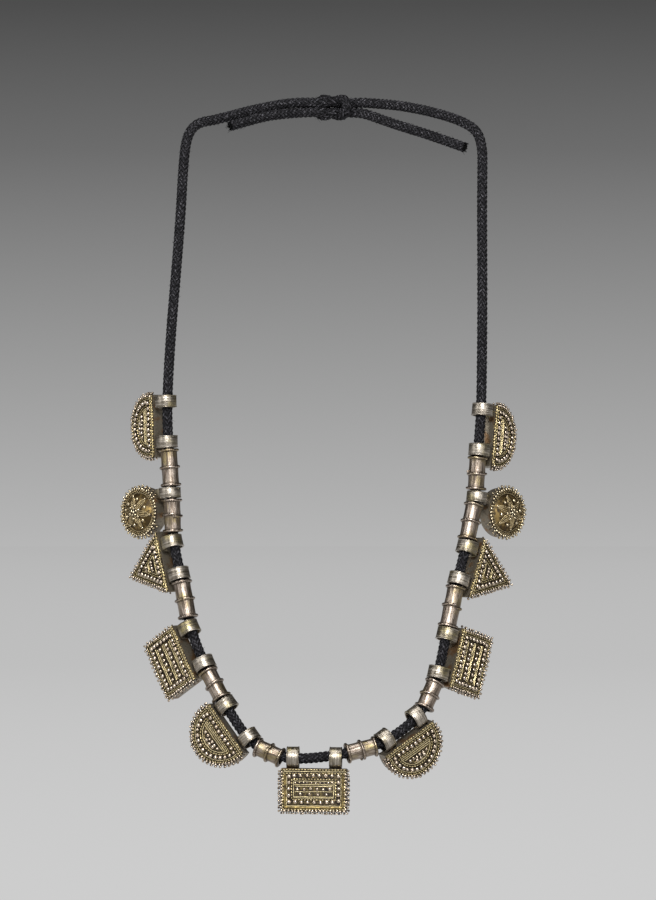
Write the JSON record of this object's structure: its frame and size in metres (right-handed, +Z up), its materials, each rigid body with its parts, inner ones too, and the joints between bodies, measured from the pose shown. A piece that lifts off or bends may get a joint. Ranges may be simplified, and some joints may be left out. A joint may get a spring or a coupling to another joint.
{
  "type": "amulet necklace",
  "caption": "Necklace of granulated box-shaped amulet cases with band loops, strung with collared spool beads on one knotted braided cord.",
  "frame": {"origin": "front of the cord at the nape, between its two strands beside the knot, where the necklace hangs on a neck", "axes": "+Z up along the height of the hanging necklace, -Y out of the front plate of the centre case, +X to the right in the front view"},
  "size_m": [0.2052, 0.105, 0.3651],
  "materials": {
    "gilt_silver": "worn gilt silver with dark recesses",
    "silver": "worn satin silver",
    "cord": "braided cotton"
  },
  "bodies": {
    "necklace": {"half_moon_high_left": "gilt_silver", "disc_left": "gilt_silver", "triangle_left": "gilt_silver", "tablet_left": "gilt_silver", "half_moon_low_left": "gilt_silver", "half_moon_low_right": "gilt_silver", "tablet_right": "gilt_silver", "triangle_right": "gilt_silver", "disc_right": "gilt_silver", "half_moon_high_right": "gilt_silver", "spool_left_1": "silver", "spool_left_2": "silver", "spool_left_3": "silver", "spool_left_4": "silver", "spool_left_5": "silver", "spool_right_1": "silver", "spool_right_2": "silver", "spool_right_3": "silver", "spool_right_4": "silver", "spool_right_5": "silver", "cord_loop": "cord", "knot": "cord", "cord_end_left": "cord", "cord_end_right": "cord"},
    "centre_case": {"tablet_centre": "gilt_silver"}
  },
  "joints": [
    {"name": "centre_case_swing", "type": "hinge", "parent": "necklace", "child": "centre_case", "pos_m": [-0.00455, -0.09104, -0.32957], "axis": [0.9986, -0.0526, -0.0101], "range_deg": [-100, 20]}
  ]
}
